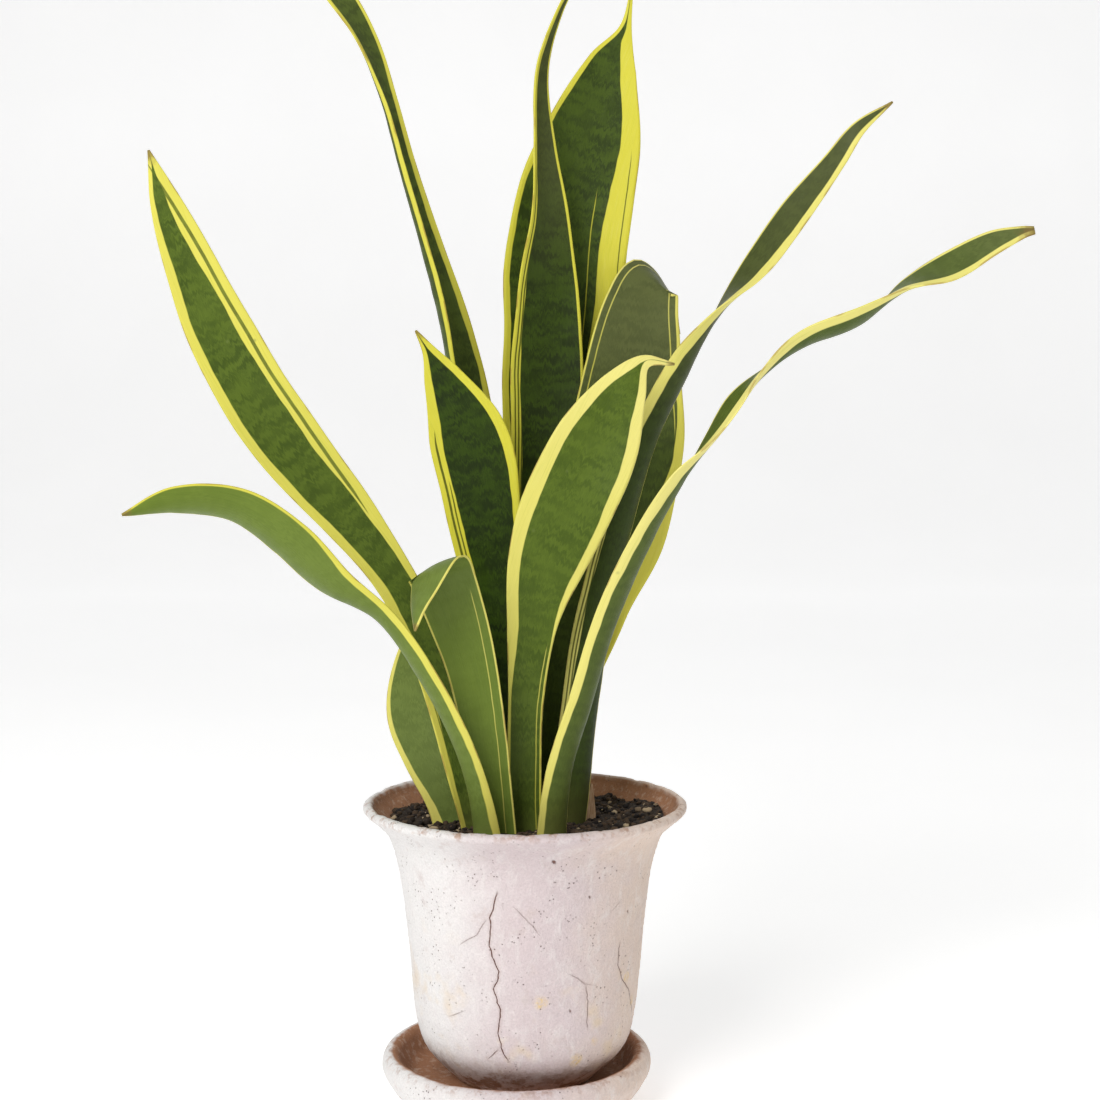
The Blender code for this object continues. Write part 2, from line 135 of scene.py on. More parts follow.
# How each leaf is marked. left, right: margin widths at fractions of the way up.
# tone: how dark the green is. Grey-olive tint at fractions of the way up: partly grey bloom, partly painted
# sheen.
# cream: how pale the margins are there. stripes: green lines inside the margins as
# (side, distance from that edge, width, from, to). lines: pale lines in the green.
LOOKS = {
    "leaf_far_left": dict(
        left=((0, 2), (0.3, 4.5), (0.8, 5), (1, 2)), right=((0, 1.5), (0.35, 3), (0.6, 9), (0.9, 9), (1, 3)),
        tone=0.45, bloom_and_sheen=((0, 0.15), (1, 0.1)), cream=((0, 0.3), (1, 0.3)), bands=0.8,
        stripes=((1, 5.2, 1.7, 0.5, 0.97), (-1, 3.4, 0.4, 0.05, 0.3)), lines=()),
    "leaf_low_left": dict(
        left=((0, 0.4), (0.4, 0.8), (0.55, 2.2), (0.7, 1.8), (1, 0.5)),
        right=((0, 3.4), (0.6, 3), (0.75, 1.2), (1, 0.5)),
        tone=0.0, bloom_and_sheen=((0, 0.5), (0.6, 0.3), (1, 0.0)), cream=((0, 0.4), (1, 0.2)), bands=0.15,
        stripes=(), lines=()),
    "leaf_folded_tip": dict(
        left=((0, 0.5), (1, 0.9)), right=((0, 0.5), (1, 0.9)),
        tone=0.0, bloom_and_sheen=((0, 0.25), (0.6, 0.15), (0.8, 0.45), (1, 0.5)), cream=((0, 0.5), (1, 0.5)),
        bands=0.1, stripes=(), lines=((1, 5.0, 0.3, 0.0, 0.72),)),
    "leaf_short_left": dict(
        left=((0, 6), (0.4, 3), (0.7, 2), (1, 0.8)), right=((0, 0.8), (1, 0.8)),
        tone=0.12, bloom_and_sheen=((0, 0.7), (1, 0.5)), cream=((0, 0.5), (1, 0.5)), bands=0.35,
        stripes=(), lines=()),
    "leaf_mid_left": dict(
        left=((0, 5), (0.5, 8), (0.8, 7), (1, 2)), right=((0, 1.2), (0.5, 2.5), (0.8, 5.5), (1, 3)),
        tone=0.92, bloom_and_sheen=((0, 0.0), (1, 0.05)), cream=((0, 0.05), (1, 0.15)), bands=1.0,
        stripes=((-1, 3.4, 1.1, 0.35, 0.8), (-1, 5.6, 0.6, 0.4, 0.7)), lines=()),
    "leaf_tall_thin": dict(
        left=((0, 2), (0.5, 2.6), (0.85, 2.2), (1, 1)), right=((0, 2), (0.6, 3), (1, 1.5)),
        tone=0.7, bloom_and_sheen=((0, 0.1), (0.7, 0.3), (1, 0.45)), cream=((0, 0.1), (1, 0.25)), bands=0.9,
        stripes=(), lines=()),
    "leaf_centre_twisted": dict(
        left=((0, 5), (0.3, 7.5), (0.6, 5), (0.85, 2.5), (1, 1)), right=((0, 1.4), (0.7, 1.5), (1, 0.8)),
        tone=0.9, bloom_and_sheen=((0, 0.0), (0.6, 0.1), (0.8, 0.6), (1, 0.7)), cream=((0, 0.1), (1, 0.2)),
        bands=1.0, stripes=((-1, 2.4, 0.7, 0.1, 0.75), (-1, 4.3, 0.8, 0.1, 0.7), (-1, 6.0, 0.6, 0.2, 0.6)),
        lines=()),
    "leaf_tall_rear": dict(
        left=((0, 2), (0.5, 4), (0.85, 3), (1, 2)),
        right=((0, 8), (0.3, 19), (0.5, 19), (0.7, 16), (0.88, 10), (1, 3)),
        tone=0.75, bloom_and_sheen=((0, 0.05), (1, 0.12)), cream=((0, 0.1), (1, 0.15)), bands=1.0,
        stripes=((1, 4.6, 0.5, 0.2, 0.8),), lines=((1, 22.0, 0.4, 0.3, 0.75),)),
    "leaf_rear_arched": dict(
        left=((0, 1.2), (1, 0.8)), right=((0, 6), (0.3, 15), (0.48, 14), (0.55, 9.5), (0.62, 5), (0.7, 3.5), (0.8, 2), (1, 1)),
        tone=0.8, bloom_and_sheen=((0, 0.1), (0.6, 0.3), (0.78, 0.95), (1, 1.0)), cream=((0, 0.1), (0.7, 0.3), (1, 0.7)),
        bands=0.8, stripes=(), lines=((1, 5.5, 0.5, 0.66, 1), (-1, 4.6, 0.5, 0.5, 1))),
    "leaf_front_broad": dict(
        left=((0, 0.6), (0.3, 1.2), (0.45, 6), (0.7, 8.5), (0.9, 6), (1, 2)),
        right=((0, 0.5), (0.4, 0.8), (0.55, 4.5), (0.8, 7), (0.93, 4), (1, 2)),
        tone=0.42, bloom_and_sheen=((0, 0.2), (0.5, 0.05), (1, 0.05)), cream=((0, 0.2), (0.6, 0.5), (1, 0.75)), bands=0.6,
        stripes=(), lines=((1, 2.6, 0.35, 0.05, 0.4),)),
    "leaf_right_upper": dict(
        left=((0, 5), (0.35, 4), (0.5, 4.5), (0.7, 6), (0.9, 3), (1, 1)), right=((0, 0.7), (1, 0.9)),
        tone=0.95, bloom_and_sheen=((0, 0.15), (0.5, 0.2), (0.7, 0.6), (1, 0.7)), cream=((0, 0.6), (1, 0.55)), bands=0.5,
        stripes=((-1, 2.0, 0.6, 0.02, 0.5), (-1, 3.6, 0.6, 0.02, 0.45)), lines=()),
    "leaf_right_long": dict(
        left=((0, 3), (0.3, 4), (0.55, 6), (0.8, 5), (1, 2)), right=((0, 0.8), (0.6, 1.2), (1, 1.5)),
        tone=0.62, bloom_and_sheen=((0, 0.35), (0.5, 0.4), (0.7, 0.15), (0.9, 0.5), (1, 0.9)),
        cream=((0, 0.5), (0.55, 0.75), (1, 0.6)), bands=0.35,
        stripes=(), lines=()),
}
LEAF_SHINE = 0.13
LINE_SLOTS = 4                    # lines and stripes a leaf's material can hold

LEAF_EDGE = 0.9
LEAF_MIDDLE = 3.2
LEAF_BASE_EXTRA = 1.8
BASE_LENGTH = 120.0
LEAST_CUP = 4.0
TIP_HALF_WIDTH = 0.35
ACROSS_CELLS = 26
ALONG_STEP = 1.9                  # distance between rows of a leaf's mesh
SAMPLES_PER_SPAN = 40

# Pot and saucer outlines: radius, and depth below the rim or height above the ground.
RIM_TOP = 170.8
POT_AXIS = (5.0, 0.0)
POT_OUTSIDE = (
    (86.4, -0.2), (87.9, 0.0), (89.3, 0.7), (90.0, 2.0), (89.9, 3.4), (87.9, 5.2), (84, 8.5), (80, 12),
    (77, 15.5), (74.8, 20), (72.2, 28), (69.9, 39), (67.5, 56), (65.5, 78), (63.4, 100), (61.7, 116),
    (59.6, 127), (57.3, 133.5), (53.6, 139), (48.6, 144.6), (43.2, 149.5), (38.5, 153.5),
)
POT_INSIDE = (
    (10, 153.5), (10, 143.5), (40, 143.5), (46, 138), (50.6, 128), (54.6, 100), (57, 78), (59.3, 56),
    (61.8, 39), (65, 27), (70.6, 17), (77.6, 10), (82.6, 5), (84.3, 2.6), (85.0, 0.9),
)
SAUCER_OUTLINE = (
    (30, 0), (56, 0), (59.5, 1.2), (63.5, 4.5), (69, 10.5), (73.5, 17.5), (75.2, 21.5), (75.4, 24.5),
    (74.8, 27.3), (73.6, 29.3), (71.8, 30.4), (69.6, 30.6), (67.6, 29.6), (65.8, 27.6), (63.5, 23),
    (60, 18.6), (56, 17), (30, 17),
)
POT_STEPS = 300
POT_ROWS = 205
SAUCER_STEPS = 240
SAUCER_ROWS = 70

# Cracks in the glaze: angle about the pot's axis and height, from the top down, with width.
CRACKS = (
    (0.75, ((-101, 138), (-105, 121), (-105.5, 107), (-104.5, 101), (-102, 94), (-102, 88), (-104.2, 84),
            (-102.6, 75), (-101, 72), (-102.7, 60), (-101.5, 50), (-100, 46), (-97, 41))),
    (0.6, ((-101.6, 50), (-105, 47), (-109, 42))),
    (0.5, ((-39, 104), (-39.4, 89), (-33, 79), (-26, 72), (-16, 54))),
    (0.4, ((-59.5, 84), (-58, 74), (-57.2, 57))),
    (0.5, ((62, 128), (58, 104), (63, 86), (60, 66))),
    (0.45, ((150, 120), (154, 98), (149, 80))),
)
SCRATCHES = (
    (0.5, ((-75, 139.5), (-79, 136))),
    (0.3, ((-106, 122), (-112, 112), (-122, 104))),
    (0.3, ((-70, 92), (-60, 84), (-52, 81))),
    (0.3, ((-118, 70), (-132, 62))),
    (0.25, ((-95, 130), (-86, 118), (-82, 112))),
    (0.25, ((-40, 128), (-48, 120))),
    (0.3, ((44, 122), (30, 110))),
    (0.3, ((122, 84), (110, 70))),
)
STAINS = (
    (-82, 76, 5.5), (-30, 80, 4.5), (-21, 64, 5.0), (-62, 41, 5.5), (-52, 50, 3.5), (100, 70, 6.0),
)
CRACK_LAYERS = 2                  # neighbouring cracks go in different layers
UNROLLED_RADIUS = 64.0            # angles become lengths at this radius
PITS = (
    (-78, 154, 1.5), (-60, 132, 0.9), (-67, 70, 0.9), (-96, 69, 1.0), (-81, 144, 0.8), (-55, 98, 0.7),
    (-120, 88, 0.8), (-35, 118, 0.8), (20, 100, 1.1), (75, 140, 0.9), (130, 96, 1.0), (170, 66, 1.0),
)

SOIL_TOP = 160.0
SOIL_RADIUS = 77.0
CRUMBS = 3200
POT_SEED = 11


def blend(a, b, t):
    """The value a fraction t of the way from a to b."""
    return a + (b - a) * t


def clamp(value, low=0.0, high=1.0):
    """Value held between low and high."""
    return max(low, min(high, value))


def ease(t):
    """A smooth step from 0 to 1."""
    t = clamp(t)
    return t * t * (3.0 - 2.0 * t)


def along_table(table, t):
    """Value at fraction t in a table of (fraction, value), eased between entries."""
    for (t0, v0), (t1, v1) in zip(table, table[1:]):
        if t <= t1:
            return blend(v0, v1, ease((t - t0) / (t1 - t0)))
    return table[-1][1]


def wobble(x, y, z, size, seed=0.0):
    """Smooth noise of about -1..1 whose lumps are about size across."""
    return noise.noise(Vector((x / size + seed, y / size - seed, z / size + 2.3 * seed)))


def smooth_curve(keys, t):
    """Values at t (0 to the number of spans) on a smooth curve through the keys."""
    distance = [0.0]
    for a, b in zip(keys, keys[1:]):
        distance.append(distance[-1] + (Vector(b[:3]) - Vector(a[:3])).length)
    span = min(int(t), len(keys) - 2)
    local = t - span
    length = distance[span + 1] - distance[span]

    def slope(i, channel):
        first, last = max(i - 1, 0), min(i + 1, len(keys) - 1)
        return (keys[last][channel] - keys[first][channel]) / (distance[last] - distance[first])

    values = []
    for channel in range(len(keys[0])):
        a, b = keys[span][channel], keys[span + 1][channel]
        rise_a, rise_b = slope(span, channel) * length, slope(span + 1, channel) * length
        values.append((2 * local**3 - 3 * local**2 + 1) * a + (local**3 - 2 * local**2 + local) * rise_a
                      + (3 * local**2 - 2 * local**3) * b + (local**3 - local**2) * rise_b)
    return values


def blade_rows(keys, step):
    """Evenly spaced sections of a leaf: middle, across, face, half width, cup, travelled, total."""
    fine = SAMPLES_PER_SPAN * (len(keys) - 1)
    samples = [smooth_curve(keys, (len(keys) - 1) * i / fine) for i in range(fine + 1)]
    middles = [Vector(sample[:3]) for sample in samples]
    travelled = [0.0]
    for a, b in zip(middles, middles[1:]):
        travelled.append(travelled[-1] + (b - a).length)
    total = travelled[-1]
    frames = []
    normal = Vector((0.0, -1.0, 0.0))
    for i in range(fine + 1):
        along = (middles[min(i + 1, fine)] - middles[max(i - 1, 0)]).normalized()
        normal = (normal - along * normal.dot(along)).normalized()
        half_width, turn, cup = samples[i][3:6]
        face = Matrix.Rotation(math.radians(turn), 3, along) @ normal
        cup = math.radians(math.copysign(max(abs(cup), LEAST_CUP), cup))
        frames.append((middles[i], along.cross(face), face, max(half_width, TIP_HALF_WIDTH), cup))
    count = max(8, round(total / step))
    rows = []
    i = 0
    for row in range(count + 1):
        want = total * row / count
        while i < fine - 1 and travelled[i + 1] < want:
            i += 1
        t = clamp((want - travelled[i]) / (travelled[i + 1] - travelled[i]))
        a, b = frames[i], frames[i + 1]
        rows.append((a[0].lerp(b[0], t), a[1].lerp(b[1], t).normalized(), a[2].lerp(b[2], t).normalized(),
                     blend(a[3], b[3], t), blend(a[4], b[4], t), want, total))
    return rows


def blade_point(row, u, side, seed):
    """A point on a leaf's front (side 1) or back (side -1), u from -1 to 1 across it."""
    middle, across, face, half_width, cup, travelled, total = row
    arc_radius = half_width / math.sin(cup)
    half_rise = arc_radius * (1.0 - math.cos(cup)) / 2
    extra = LEAF_BASE_EXTRA * max(0.0, 1.0 - travelled / BASE_LENGTH)
    body = min(LEAF_MIDDLE + extra, LEAF_EDGE + 0.35 * half_width)
    rise = arc_radius * (1.0 - math.cos(cup * u)) - half_rise
    out = face * math.cos(cup * u) - across * math.sin(cup * u)
    ripple = half_width * 0.022 * u * u * math.sin(travelled * 0.075 + seed * 5.0 + (0.9 if u > 0 else 0.0))
    ripple += 0.16 * wobble(travelled, u * 3.0, 0.0, 9.0, seed)
    thickness = blend(body, LEAF_EDGE * 0.8, u * u) / 2
    stretch = 1.0 + 0.012 * math.sin(travelled * 0.11 + seed * 3.0 + u)
    point = middle + across * (arc_radius * math.sin(cup * u) * stretch) + face * rise
    return (point + out * (thickness * side + ripple)) * MM


def new_piece(name, shape, material, node=None):
    """Put a finished bmesh in the scene as one smooth piece riding on the root."""
    mesh = bpy.data.meshes.new(name)
    shape.to_mesh(mesh)
    shape.free()
    piece = bpy.data.objects.new(name, mesh)
    bpy.context.scene.collection.objects.link(piece)
    mesh.materials.append(material)
    mesh.shade_smooth()
    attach(piece, "root")
    if node:
        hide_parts(node)
    return piece


LEAF_LAYERS = ("from_left", "from_right", "left_margin", "right_margin", "travelled", "way_up",
               "tone", "bloom_and_sheen", "cream", "bands", "across")


def build_leaf(name, keys, looks, seed):
    """A leaf's mesh, with the layers its material reads."""
    rows = blade_rows(keys, ALONG_STEP)
    shape = bmesh.new()
    layers = {key: shape.verts.layers.float.new(key) for key in LEAF_LAYERS}
    for i in range(LINE_SLOTS):
        for key in ("line_place", "line_width"):
            layers["%s_%d" % (key, i)] = shape.verts.layers.float.new("%s_%d" % (key, i))
    made = bmesh.ops.create_grid(shape, x_segments=ACROSS_CELLS, y_segments=len(rows) - 1, size=1.0)
    front = made["verts"]
    cells = {}
    for vert in front:
        column = round((vert.co.x + 1.0) / 2.0 * ACROSS_CELLS)
        row = round((vert.co.y + 1.0) / 2.0 * (len(rows) - 1))
        cells[vert] = (column, row)
    marks = [(0, mark) for mark in looks["stripes"]] + [(1, mark) for mark in looks["lines"]]
    for vert, (column, row_index) in cells.items():
        u = 2.0 * column / ACROSS_CELLS - 1.0
        u = math.copysign(abs(u) ** 0.85, u)
        row = rows[row_index]
        way = row[5] / row[6]
        half = row[3]
        vert[layers["from_left"]] = (1.0 + u) * half
        vert[layers["from_right"]] = (1.0 - u) * half
        vert[layers["left_margin"]] = min(along_table(looks["left"], way), half * 0.8)
        vert[layers["right_margin"]] = min(along_table(looks["right"], way), half * 1.0)
        vert[layers["travelled"]] = row[5] + 900.0 * seed
        vert[layers["way_up"]] = way
        vert[layers["tone"]] = looks["tone"]
        # Grey-olive tint up the blade: partly grey bloom, partly painted sheen where the blade curves toward
        # the light.
        vert[layers["bloom_and_sheen"]] = along_table(looks["bloom_and_sheen"], way)
        vert[layers["cream"]] = along_table(looks["cream"], way)
        vert[layers["bands"]] = looks["bands"]
        vert[layers["across"]] = u * half
        for i in range(LINE_SLOTS):
            place, width = 99.0, 0.0
            if i < len(marks):
                pale, (side, distance, wide, start, end) = marks[i]
                place = (1.0 - side * u) * half - distance
                shown = ease((way - start) / 0.06 + 0.5) * ease((end - way) / 0.06 + 0.5)
                width = wide * shown * (1.0 if pale else -1.0)
            vert[layers["line_place_%d" % i]] = place
            vert[layers["line_width_%d" % i]] = width
        vert.co = blade_point(row, u, 1, seed)
    copy = bmesh.ops.duplicate(shape, geom=shape.faces[:])
    back_faces = [item for item in copy["geom"] if isinstance(item, bmesh.types.BMFace)]
    for source, twin in copy["vert_map"].items():
        if source in cells and twin not in cells:
            column, row_index = cells[source]
            u = 2.0 * column / ACROSS_CELLS - 1.0
            u = math.copysign(abs(u) ** 0.85, u)
            twin.co = blade_point(rows[row_index], u, -1, seed)
    bmesh.ops.reverse_faces(shape, faces=back_faces)
    rim = [edge for edge in shape.edges if edge.is_boundary]
    bmesh.ops.bridge_loops(shape, edges=rim)
    bmesh.ops.recalc_face_normals(shape, faces=shape.faces[:])
    return shape


class Nodes:
    """Small helper that adds and links shader nodes."""

    def __init__(self, name, roughness):
        self.material = bpy.data.materials.new(name)
        self.material.use_nodes = True
        self.tree = self.material.node_tree
        self.shader = self.tree.nodes["Principled BSDF"]
        self.shader.inputs["Roughness"].default_value = roughness

    def put(self, socket, value):
        """Link a socket, or set a plain value."""
        if isinstance(value, bpy.types.NodeSocket):
            self.tree.links.new(value, socket)
        else:
            socket.default_value = value

    def attribute(self, name, colour=False):
        """A value stored on the mesh."""
        node = self.tree.nodes.new("ShaderNodeAttribute")
        node.attribute_name = name
        return node.outputs["Color" if colour else "Fac"]

    def math(self, operation, a, b=0.0, c=0.0, held=False):
        """One sum."""
        node = self.tree.nodes.new("ShaderNodeMath")
        node.operation = operation
        node.use_clamp = held
        for socket, value in zip(node.inputs, (a, b, c)):
            self.put(socket, value)
        return node.outputs[0]

    def step(self, value, low, high, a=0.0, b=1.0):
        """A smooth step of value from low to high, giving a to b."""
        node = self.tree.nodes.new("ShaderNodeMapRange")
        node.interpolation_type = 'SMOOTHSTEP'
        for key, given in (("Value", value), ("From Min", low), ("From Max", high), ("To Min", a),
                           ("To Max", b)):
            self.put(node.inputs[key], given)
        return node.outputs["Result"]

    def mix(self, factor, a, b, how='MIX'):
        """A colour between a and b."""
        node = self.tree.nodes.new("ShaderNodeMix")
        node.data_type = 'RGBA'
        node.blend_type = how
        self.put(node.inputs[0], factor)
        self.put(node.inputs[6], a)
        self.put(node.inputs[7], b)
        return node.outputs[2]

    def noise(self, vector, scale, detail=3.0, rough=0.55, distortion=0.0):
        """Noise of 0..1 about 0.5."""
        node = self.tree.nodes.new("ShaderNodeTexNoise")
        self.put(node.inputs["Vector"], vector)
        node.inputs["Scale"].default_value = scale
        node.inputs["Detail"].default_value = detail
        node.inputs["Roughness"].default_value = rough
        node.inputs["Distortion"].default_value = distortion
        return node.outputs["Fac"]

    def cells(self, vector, scale, randomness=1.0):
        """Distance to the nearest of scattered points."""
        node = self.tree.nodes.new("ShaderNodeTexVoronoi")
        self.put(node.inputs["Vector"], vector)
        node.inputs["Scale"].default_value = scale
        node.inputs["Randomness"].default_value = randomness
        return node.outputs["Distance"]

    def place(self):
        """Object coordinates."""
        return self.tree.nodes.new("ShaderNodeTexCoord").outputs["Object"]

    def vector(self, x, y, z):
        """Three values as one vector."""
        node = self.tree.nodes.new("ShaderNodeCombineXYZ")
        for socket, value in zip(node.inputs, (x, y, z)):
            self.put(socket, value)
        return node.outputs[0]

    def split(self, vector):
        """The three parts of a vector."""
        node = self.tree.nodes.new("ShaderNodeSeparateXYZ")
        self.put(node.inputs[0], vector)
        return node.outputs

    def finish(self, colour, height=None, strength=0.3, distance=0.001, roughness=None):
        """Link colour, bump and roughness to the shader."""
        self.put(self.shader.inputs["Base Color"], colour)
        if roughness is not None:
            self.put(self.shader.inputs["Roughness"], roughness)
        if height is not None:
            bump = self.tree.nodes.new("ShaderNodeBump")
            bump.inputs["Strength"].default_value = strength
            bump.inputs["Distance"].default_value = distance
            self.put(bump.inputs["Height"], height)
            self.put(self.shader.inputs["Normal"], bump.outputs["Normal"])
        return self.material


def leaf_material(settings):
    """Green banded blades with yellow margins, read from the leaf's own layers."""
    n = Nodes("leaf_look", 0.42)
    n.shader.inputs["Specular IOR Level"].default_value = LEAF_SHINE
    travelled, across = n.attribute("travelled"), n.attribute("across")
    tone, bloom_and_sheen, cream = n.attribute("tone"), n.attribute("bloom_and_sheen"), n.attribute("cream")
    flat = n.vector(across, travelled, 0.0)

    # Fine streaks run along the blade; the margins' edges waver with them.
    streak_place = n.vector(n.math('MULTIPLY', across, 1.6), n.math('MULTIPLY', travelled, 0.03), 0.0)
    streaks = n.noise(streak_place, 1.0, 4.0, 0.7)
    fine_place = n.vector(n.math('MULTIPLY', across, 6.0), n.math('MULTIPLY', travelled, 0.05), 3.0)
    fine = n.noise(fine_place, 1.0, 3.0, 0.6)
    sway = n.math('MULTIPLY', n.math('SUBTRACT', n.noise(n.vector(
        n.math('MULTIPLY', across, 0.02), n.math('MULTIPLY', travelled, 0.035), 7.0), 1.0, 2.0), 0.5), 2.4)

    def margin(distance, width):
        edge = n.math('SUBTRACT', n.math('ADD', width, n.math('MULTIPLY', sway, n.step(width, 0.5, 4.0))),
                      distance)
        return n.step(edge, -0.25, 0.3)

    left = margin(n.attribute("from_left"), n.attribute("left_margin"))
    right = margin(n.attribute("from_right"), n.attribute("right_margin"))
    pale = n.math('MAXIMUM', left, right)
    for i in range(LINE_SLOTS):
        width = n.attribute("line_width_%d" % i)
        place = n.math('ABSOLUTE', n.math('ADD', n.attribute("line_place_%d" % i),
                                          n.math('MULTIPLY', sway, 0.35)))
        half = n.math('MULTIPLY', n.math('ABSOLUTE', width), 0.5)
        inside = n.step(n.math('SUBTRACT', half, place), -0.3, 0.12)
        inside = n.math('MULTIPLY', inside, n.step(half, 0.02, 0.12))
        light = n.math('GREATER_THAN', width, 0.0)
        keep = n.math('MULTIPLY', pale, n.math('SUBTRACT', 1.0, n.math('MULTIPLY', inside, 0.85)))
        add = n.math('MAXIMUM', pale, n.math('MULTIPLY', inside, 0.75))
        pale = n.math('ADD', n.math('MULTIPLY', light, add),
                      n.math('MULTIPLY', n.math('SUBTRACT', 1.0, light), keep))

    # Crossbands: noise squeezed along the blade, its places pushed about so it looks jagged.
    push = n.math('MULTIPLY', n.math('SUBTRACT', n.noise(n.vector(
        n.math('MULTIPLY', across, 0.45), n.math('MULTIPLY', travelled, 0.05), 1.0), 1.0, 3.0, 0.7), 0.5), 16.0)
    band_place = n.vector(n.math('MULTIPLY', across, 0.055),
                          n.math('MULTIPLY', n.math('ADD', travelled, push), 0.26), 5.0)
    bands = n.step(n.noise(band_place, 1.0, 3.0, 0.65, 0.3), 0.40, 0.60)
    patch = n.noise(flat, 0.035, 3.0, 0.6)
    bands = n.math('MULTIPLY', bands, n.step(patch, 0.3, 0.6, 0.6, 1.0))

    pale_green = n.mix(tone, settings.light_green, settings.mid_green)
    dark_green = n.mix(tone, (0.060, 0.105, 0.008, 1), settings.dark_green)
    lifted = n.mix(n.math('POWER', tone, 2.0), pale_green, (0.020, 0.046, 0.001, 1))
    green = n.mix(n.math('MULTIPLY', bands, n.attribute("bands")), lifted, dark_green)
    green = n.mix(n.math('MULTIPLY', n.step(streaks, 0.35, 0.7), 0.25), green, dark_green)
    # Grey-olive tint: partly the leaf's grey bloom, partly painted sheen where the blade curves toward the
    # light; the crossbands show through it.
    bloom_sheen_grey = n.mix(tone, (0.175, 0.225, 0.075, 1), (0.12, 0.125, 0.045, 1))
    bloom_sheen_grey = n.mix(n.math('MULTIPLY', bands, 0.35), bloom_sheen_grey, (0.06, 0.075, 0.022, 1))
    green = n.mix(n.math('MULTIPLY', bloom_and_sheen, 0.8), green, bloom_sheen_grey)
    green = n.mix(n.step(fine, 0.55, 0.8, 0.0, 0.18), green, (0.20, 0.28, 0.07, 1))

    yellow = n.mix(cream, settings.margin_yellow, settings.margin_cream)
    yellow = n.mix(n.step(streaks, 0.50, 0.78, 0.0, 0.5), yellow, (0.42, 0.46, 0.03, 1))
    yellow = n.mix(n.step(fine, 0.5, 0.8, 0.0, 0.25), yellow, (0.88, 0.84, 0.42, 1))
    colour = n.mix(pale, green, yellow)

    # The very edge is a thin reddish-brown line here and there, and tips dry out.
    edge = n.math('MINIMUM', n.attribute("from_left"), n.attribute("from_right"))
    rust = n.math('MULTIPLY', n.step(edge, 0.55, 0.1), n.step(n.noise(flat, 0.05, 2.0), 0.5, 0.62, 0.0, 0.55))
    colour = n.mix(rust, colour, (0.30, 0.16, 0.04, 1))
    tip = n.step(n.math('ADD', n.attribute("way_up"), n.math('MULTIPLY', n.math(
        'SUBTRACT', n.noise(flat, 0.25, 3.0), 0.5), 0.03)), 0.978, 0.996)
    colour = n.mix(n.math('MULTIPLY', tip, 0.8), colour, (0.20, 0.13, 0.04, 1))
    base = n.step(n.attribute("way_up"), 0.13, 0.02, 0.0, 0.45)
    colour = n.mix(base, colour, (0.16, 0.14, 0.05, 1))
    blotch = n.step(n.cells(flat, 0.06), 0.0, 0.09, 0.5, 0.0)
    colour = n.mix(n.math('MULTIPLY', blotch, n.step(patch, 0.45, 0.6)), colour, (0.16, 0.20, 0.06, 1))

    height = n.math('ADD', n.math('MULTIPLY', streaks, 0.7), n.math('MULTIPLY', fine, 0.3))
    height = n.math('ADD', height, n.math('MULTIPLY', n.noise(flat, 0.5, 3.0), 0.35))
    rough = n.step(n.noise(flat, 0.08, 3.0), 0.3, 0.7, 0.36, 0.5)
    return n.finish(colour, height, 0.35, 0.0006, rough)


def spin_outline(outline, axis, steps, closed):
    """Turn an outline of (radius, height) points round a vertical axis."""
    shape = bmesh.new()
    centre = Vector((axis[0], axis[1], 0.0)) * MM
    points = [shape.verts.new(centre + Vector((radius, 0.0, height)) * MM) for radius, height in outline]
    edges = [shape.edges.new(pair) for pair in zip(points, points[1:])]
    if closed:
        edges.append(shape.edges.new((points[-1], points[0])))
    bmesh.ops.spin(shape, geom=points + edges, cent=centre, axis=(0, 0, 1), angle=math.tau,
                   steps=steps, use_merge=True)
    bmesh.ops.remove_doubles(shape, verts=shape.verts, dist=1e-6)
    holes = [edge for edge in shape.edges if edge.is_boundary]
    if holes:
        bmesh.ops.holes_fill(shape, edges=holes, sides=0)
    bmesh.ops.recalc_face_normals(shape, faces=shape.faces[:])
    return shape


def even_outline(outline, count, closed):
    """Points at even distances on a rounded line through the outline."""
    points = [Vector((r, h, 0.0)) for r, h in outline]
    if closed:
        points.append(points[0])
    fine = []
    for i in range(len(points) - 1):
        before, after = points[max(i - 1, 0)], points[min(i + 2, len(points) - 1)]
        a, b = points[i], points[i + 1]
        sharp = (b - a).length > 25.0
        for k in range(12):
            t = k / 12.0
            if sharp:
                fine.append(a.lerp(b, t))
                continue
            tangent_a = (b - before) / max((b - before).length, 1e-6) * (b - a).length
            tangent_b = (after - a) / max((after - a).length, 1e-6) * (b - a).length
            fine.append(a * (2 * t**3 - 3 * t**2 + 1) + tangent_a * (t**3 - 2 * t**2 + t)
                        + b * (3 * t**2 - 2 * t**3) + tangent_b * (t**3 - t**2))
    fine.append(points[-1])
    run = [0.0]
    for a, b in zip(fine, fine[1:]):
        run.append(run[-1] + (b - a).length)
    picked = []
    i = 0
    for step in range(count if closed else count + 1):
        want = run[-1] * step / count
        while i < len(fine) - 2 and run[i + 1] < want:
            i += 1
        point = fine[i].lerp(fine[i + 1], (want - run[i]) / max(run[i + 1] - run[i], 1e-9))
        picked.append((point.x, point.y))
    return picked


